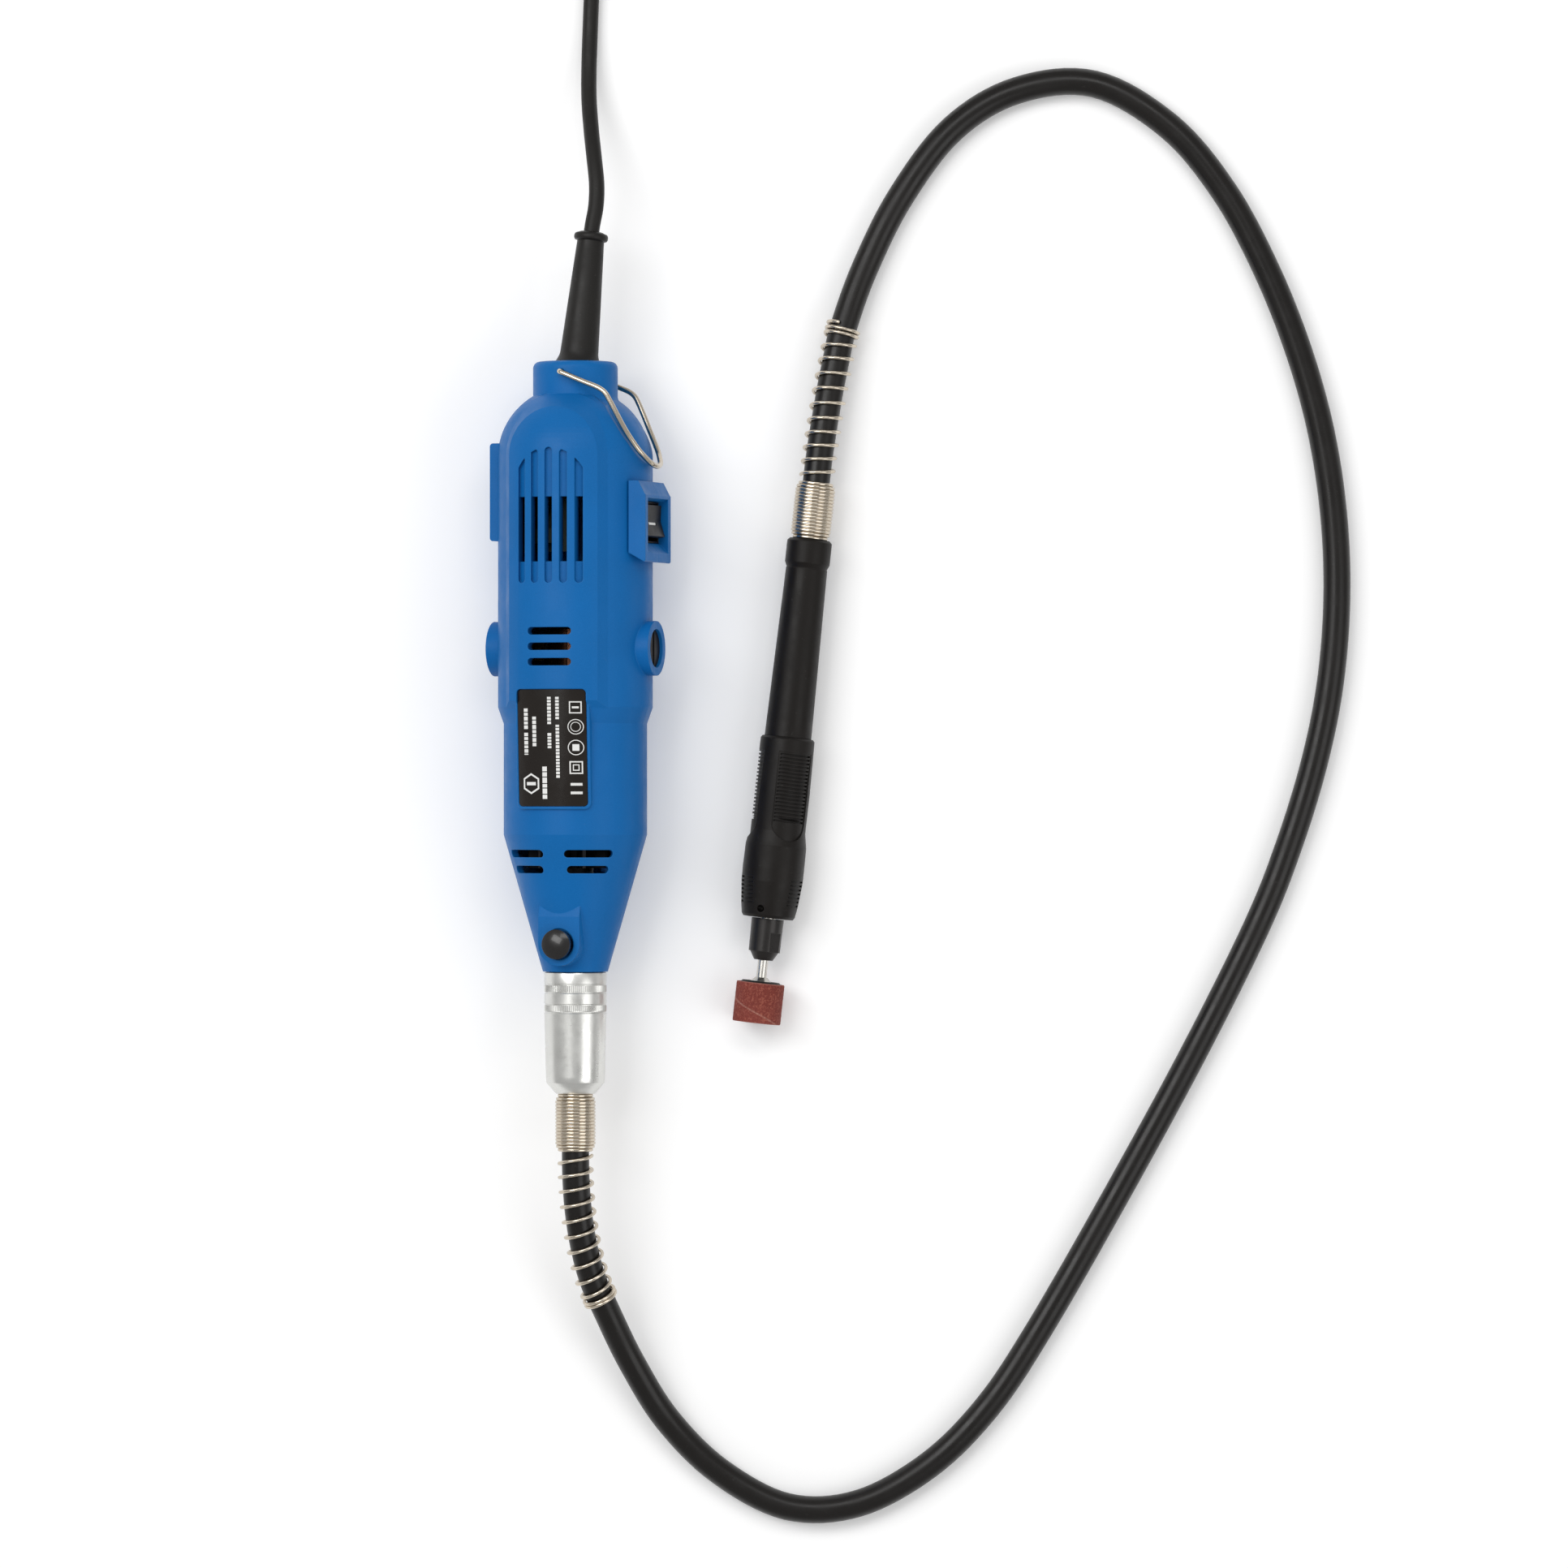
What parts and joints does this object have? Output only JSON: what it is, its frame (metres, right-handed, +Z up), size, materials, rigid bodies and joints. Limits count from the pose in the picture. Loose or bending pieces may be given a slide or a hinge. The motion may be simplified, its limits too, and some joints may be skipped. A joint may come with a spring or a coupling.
{
  "type": "rotary tool",
  "caption": "Mains rotary tool with a flexible shaft, guard springs and a slim handpiece that holds a sanding drum; switch, bail, cord and plug.",
  "frame": {"origin": "on the bench, under the middle of the box round the tool, its springs and the handpiece, with the cords and what is on them left out", "axes": "+Z up off the bench, +Y from the tool's nose towards its cord, +X towards the handpiece"},
  "size_m": [0.2668, 0.5596, 0.05],
  "materials": {
    "housing_front": "moulded, satin",
    "housing_rear": "moulded, satin",
    "housing_screws": "zinc plated",
    "rating_label": "glossy film",
    "cord_sleeve": "matt rubber",
    "cord_clamp": "moulded",
    "clamp_screws": "zinc plated",
    "mains_cord": "matt",
    "cord_coil": "matt",
    "cord_tail": "matt",
    "cord_tie": "soft strap",
    "plug_body": "moulded",
    "plug_pins": "nickel plated brass",
    "hanging_bail": "bright nickel",
    "switch_body": "moulded",
    "switch_rocker": "semi-gloss",
    "speed_dial": "moulded",
    "speed_board": "circuit board",
    "stator_core": "laminated steel",
    "field_windings": "enamelled copper",
    "armature_core": "laminated steel",
    "armature_windings": "enamelled copper",
    "motor_shaft": "ground",
    "commutator": "copper bars",
    "cooling_fan": "moulded",
    "rear_bearing": "polished",
    "front_bearing": "polished",
    "brush_holders": "pressed",
    "carbon_brushes": "carbon",
    "brush_springs": "bright",
    "brush_caps": "moulded",
    "tool_collet": "ground",
    "collet_nut": "turned",
    "drive_adapter": "ground",
    "lock_button": "glossy",
    "lock_spring": "bright",
    "coupling_nut": "satin, knurled",
    "tool_ferrule": "nickel plated",
    "tool_spring": "nickel plated",
    "flex_sheath": "satin",
    "flex_core": "wound wire, greased",
    "hand_spring": "nickel plated",
    "hand_ferrule": "nickel plated",
    "hand_tube": "satin",
    "hand_grip": "matt",
    "hand_rear_bearing": "polished",
    "hand_front_bearing": "polished",
    "hand_spindle": "ground",
    "hand_collet": "ground",
    "chuck_nut": "black oxide",
    "mandrel": "bright",
    "mandrel_screw": "bright",
    "drum_rubber": "matt rubber",
    "sanding_band": "coated abrasive"
  },
  "bodies": {
    "tool": {"housing_front": "housing_front", "housing_rear": "housing_rear", "housing_screws": "housing_screws", "rating_label": "rating_label", "cord_sleeve": "cord_sleeve", "cord_clamp": "cord_clamp", "clamp_screws": "clamp_screws", "mains_cord": "mains_cord", "cord_coil": "cord_coil", "cord_tail": "cord_tail", "cord_tie": "cord_tie", "plug_body": "plug_body", "plug_pins": "plug_pins", "switch_body": "switch_body", "speed_board": "speed_board", "stator_core": "stator_core", "field_windings": "field_windings", "rear_bearing": "rear_bearing", "front_bearing": "front_bearing", "brush_holders": "brush_holders", "carbon_brushes": "carbon_brushes", "brush_springs": "brush_springs", "brush_caps": "brush_caps", "lock_spring": "lock_spring", "coupling_nut": "coupling_nut", "tool_ferrule": "tool_ferrule", "tool_spring": "tool_spring", "flex_sheath": "flex_sheath", "flex_core": "flex_core", "hand_spring": "hand_spring", "hand_ferrule": "hand_ferrule", "hand_tube": "hand_tube", "hand_grip": "hand_grip", "hand_rear_bearing": "hand_rear_bearing", "hand_front_bearing": "hand_front_bearing"},
    "rotor": {"armature_core": "armature_core", "armature_windings": "armature_windings", "motor_shaft": "motor_shaft", "commutator": "commutator", "cooling_fan": "cooling_fan", "tool_collet": "tool_collet", "collet_nut": "collet_nut", "drive_adapter": "drive_adapter"},
    "accessory": {"hand_spindle": "hand_spindle", "hand_collet": "hand_collet", "chuck_nut": "chuck_nut", "mandrel": "mandrel", "mandrel_screw": "mandrel_screw", "drum_rubber": "drum_rubber", "sanding_band": "sanding_band"},
    "bail": {"hanging_bail": "hanging_bail"},
    "rocker": {"switch_rocker": "switch_rocker"},
    "dial": {"speed_dial": "speed_dial"},
    "button": {"lock_button": "lock_button"}
  },
  "joints": [
    {"name": "armature_spin", "type": "hinge", "parent": "tool", "child": "rotor", "pos_m": [-0.03, 0.006, 0.025], "axis": [0, -1, 0], "continuous": true},
    {"name": "accessory_spin", "type": "hinge", "parent": "tool", "child": "accessory", "pos_m": [0.03097, -0.02739, 0.0095], "axis": [-0.1103, -0.9939, 0], "continuous": true},
    {"name": "bail_swing", "type": "hinge", "parent": "tool", "child": "bail", "pos_m": [-0.03, 0.1225, 0.025], "axis": [-0.309, 0, 0.9511], "range_deg": [0, 105]},
    {"name": "rocker_swing", "type": "hinge", "parent": "tool", "child": "rocker", "pos_m": [-0.0095, 0.0766, 0.03166], "axis": [-0.309, 0, 0.9511], "range_deg": [-14, 0]},
    {"name": "dial_turn", "type": "hinge", "parent": "tool", "child": "dial", "pos_m": [-0.04564, 0.086, 0.01992], "axis": [-0.309, 0, 0.9511], "range_deg": [0, 270]},
    {"name": "lock_press", "type": "slide", "parent": "tool", "child": "button", "axis": [0.309, 0, -0.9511], "range_m": [0, 0.0022], "stiffness_N_per_m": 400, "springref_m": -0.003, "deforming": ["lock_spring"]}
  ],
  "couplings": [
    {"joint": "accessory_spin", "follows": "armature_spin", "ratio": 1}
  ]
}
